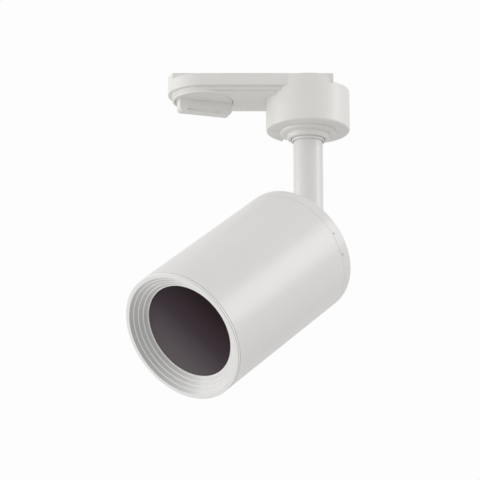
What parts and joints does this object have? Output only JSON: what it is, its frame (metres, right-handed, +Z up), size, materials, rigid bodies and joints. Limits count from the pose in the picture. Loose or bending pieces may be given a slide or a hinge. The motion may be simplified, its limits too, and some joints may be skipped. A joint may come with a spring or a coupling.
{
  "type": "track spotlight",
  "caption": "White track spotlight: a two-wire track adapter with a lock dial, a swivelling stem and a tilting tubular head with a stepped anti-glare ring and a dark lens.",
  "frame": {"origin": "on the pan axis, in the plane where the adapter seats against the underside of the track", "axes": "+Z up, out of the top of the adapter into the track; +X along the track, from the lock dial to the hub; +Y to the right-handed side, away from the viewer"},
  "size_m": [0.1009, 0.1015, 0.1617],
  "materials": {
    "adapter_plastic": "fine satin moulded white",
    "insert_plastic": "plain moulded off-white",
    "white_metal": "fine-textured matt white powder coat",
    "white_ring": "satin white moulding",
    "steel": "zinc plated",
    "brass": "plain",
    "nylon": "natural nylon",
    "rubber": "matt",
    "smoked_glass": "smooth, darkly smoked",
    "reflector_metal": "satin anodised",
    "sink_aluminium": "die cast",
    "phosphor": "smooth",
    "circuit_board": "solder mask",
    "black_plastic": "moulded",
    "lead_sheath": "flexible sheath"
  },
  "bodies": {
    "adapter": {"adapter_housing": "adapter_plastic", "anchor_plate": "steel", "base_screws": "steel", "detent_ball": "steel", "detent_spring": "steel", "hub_lid": "insert_plastic", "hub_lid_screws": "steel", "pan_bushing": "nylon", "pan_stop_pin": "steel", "rail_lid": "insert_plastic", "rail_lid_screws": "steel", "stem_collar": "adapter_plastic", "supply_lead": "lead_sheath", "swivel_base": "adapter_plastic", "terminal_block": "nylon", "terminal_screws": "steel", "wiper_strips": "brass"},
    "lock": {"lock_dial": "adapter_plastic", "contact_rotor": "insert_plastic", "live_blade": "brass", "neutral_blade": "brass", "rotor_screw": "steel"},
    "stem": {"stem_tube": "white_metal", "knuckle_tongue": "white_metal", "stem_set_screw": "steel", "stem_circlip": "steel", "pan_stop_washer": "steel", "disc_spring": "steel", "clamp_washer": "steel", "stem_nut": "steel", "stem_lead": "lead_sheath"},
    "head": {"baffle_ring": "white_ring", "cable_grommet": "rubber", "driver_board": "circuit_board", "driver_capacitors": "black_plastic", "driver_chips": "black_plastic", "driver_transformer": "black_plastic", "driver_tray": "nylon", "head_lead": "lead_sheath", "head_tube": "white_metal", "heat_sink": "sink_aluminium", "led_board": "sink_aluminium", "led_emitter": "phosphor", "led_holder": "nylon", "led_holder_screws": "steel", "led_lead_minus": "lead_sheath", "led_lead_plus": "lead_sheath", "lens_gasket": "rubber", "pivot_bolt": "steel", "pivot_nut": "steel", "rear_cap": "white_metal", "rear_cap_screws": "white_metal", "reflector": "reflector_metal", "smoked_lens": "smoked_glass", "tilt_washers": "nylon"}
  },
  "joints": [
    {"name": "lock_turn", "type": "hinge", "parent": "adapter", "child": "lock", "pos_m": [-0.04835, 0, -0.0085], "axis": [0, 0, 1], "range_deg": [0, 90]},
    {"name": "pan", "type": "hinge", "parent": "adapter", "child": "stem", "pos_m": [0, 0, -0.0206], "axis": [0, 0, 1], "range_deg": [-165, 165]},
    {"name": "tilt", "type": "hinge", "parent": "stem", "child": "head", "pos_m": [0, 0, -0.0755], "axis": [-0.7115, 0.7026, 0], "range_deg": [-54, 36]}
  ]
}
